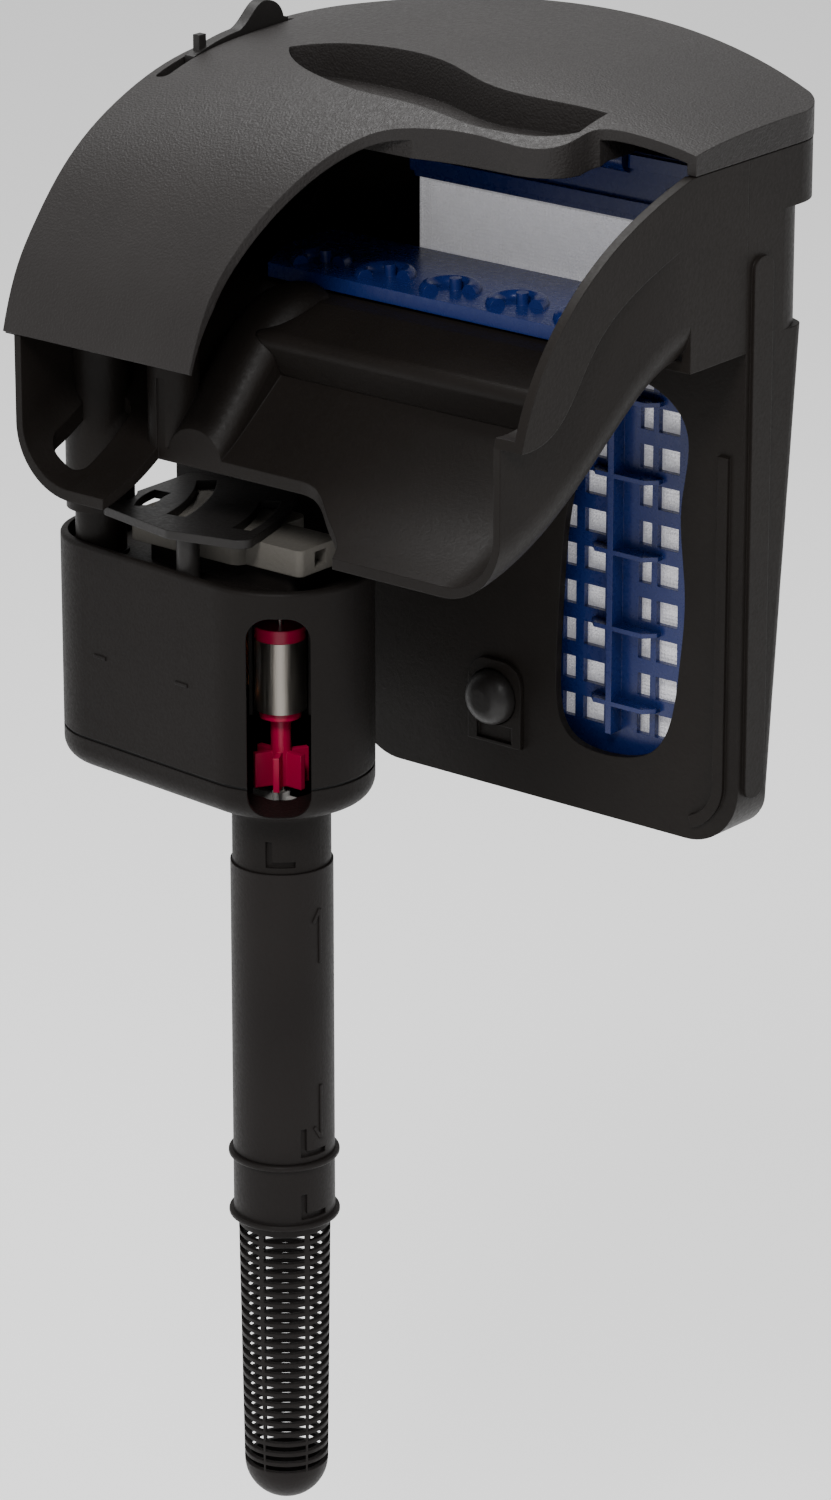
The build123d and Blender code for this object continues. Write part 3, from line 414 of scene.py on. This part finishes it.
def make_arrows():
    """Half-barbed arrows on the intake tube, one up and one down."""
    low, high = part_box("extension_tube")
    cx, cy, radius = (low[0] + high[0]) / 2, (low[1] + high[1]) / 2, (high[0] - low[0]) / 2

    def on_tube(angle, z):
        return (cx + radius * cos(radians(angle)), cy + radius * sin(radians(angle)), z)

    def from_axis(point):
        return (point.x - cx, point.y - cy, 0)

    turn, back = BARB_STEP
    arrows = {
        "arrow_up": [high[2] - drop for drop in ARROW_UP],
        "arrow_down": [low[2] + rise for rise in ARROW_DOWN],
    }
    for name, (start, end) in arrows.items():
        sense = 1 if end > start else -1
        stem = [on_tube(ARROW_ANGLE, start + (end - start) * i / 6) for i in range(7)]
        barb = [on_tube(ARROW_ANGLE - turn * i, end - sense * back * i) for i in range(4)]
        raised_mark(name, stem, INTAKE, "intake_tube", from_axis)
        raised_mark(name + "_barb", barb, INTAKE, "intake_tube", from_axis)


def make_level_marks():
    """The two ends of the water level line, on the front of the pump between its round ends."""
    low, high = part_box("pump_housing")
    right_radius, axis = (high[1] - low[1]) / 2, (high[1] + low[1]) / 2
    left, right = low[0] + PUMP_LEFT_RADIUS, high[0] - right_radius
    slope = (right_radius - PUMP_LEFT_RADIUS) / (right - left)
    for name, (start, end) in LEVEL_MARKS.items():
        line = [start + (end - start) * i / 4 for i in range(5)]
        hull = [(x, axis - PUMP_LEFT_RADIUS - slope * (x - left), high[2] - LEVEL_DROP) for x in line]
        raised_mark(name, hull, PUMP, "pump", lambda point: (0, -1, 0))


# ---------------------------------------------------------------- stage

def area_light(name, place, size, watts):
    """Rectangular soft light at place, turned towards the filter."""
    data = bpy.data.lights.new(name, "AREA")
    data.shape = "RECTANGLE"
    data.size, data.size_y = size
    data.energy = watts
    light = bpy.data.objects.new(name, data)
    light.location = place
    light.rotation_euler = (Vector(AIM) - Vector(place)).to_track_quat("-Z", "Y").to_euler()
    bpy.context.collection.objects.link(light)


def make_floor():
    """Pale floor, below the lowest place that any part is pulled down to."""
    low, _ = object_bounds()
    bpy.ops.mesh.primitive_plane_add(size=FLOOR_SIZE, location=(0, 0, low[2] - FLOOR_DROP))
    floor = bpy.context.object
    floor.name = "floor"
    _, bsdf, material = shader("floor_paper", (FLOOR_GREY, FLOOR_GREY, FLOOR_GREY), 0.9)
    bsdf.inputs["Emission Color"].default_value = (1, 1, 1, 1)
    bsdf.inputs["Emission Strength"].default_value = FLOOR_GLOW
    floor.data.materials.append(material)


def make_surround():
    """Even white light from all round."""
    world = bpy.data.worlds.new("studio")
    world.use_nodes = True
    background = world.node_tree.nodes["Background"]
    background.inputs["Color"].default_value = (1, 1, 1, 1)
    background.inputs["Strength"].default_value = WORLD_STRENGTH
    bpy.context.scene.world = world


def make_camera():
    """The scene's camera."""
    data = bpy.data.cameras.new("camera")
    data.lens = LENS
    camera = bpy.data.objects.new("camera", data)
    camera.location = CAMERA_AT
    camera.rotation_euler = (radians(90 - ELEVATION), 0, radians(AZIMUTH))
    bpy.context.collection.objects.link(camera)
    bpy.context.scene.camera = camera


make_floss()
make_arrows()
make_level_marks()
make_floor()
make_surround()
for setting in LIGHTS:
    area_light(*setting)
make_camera()
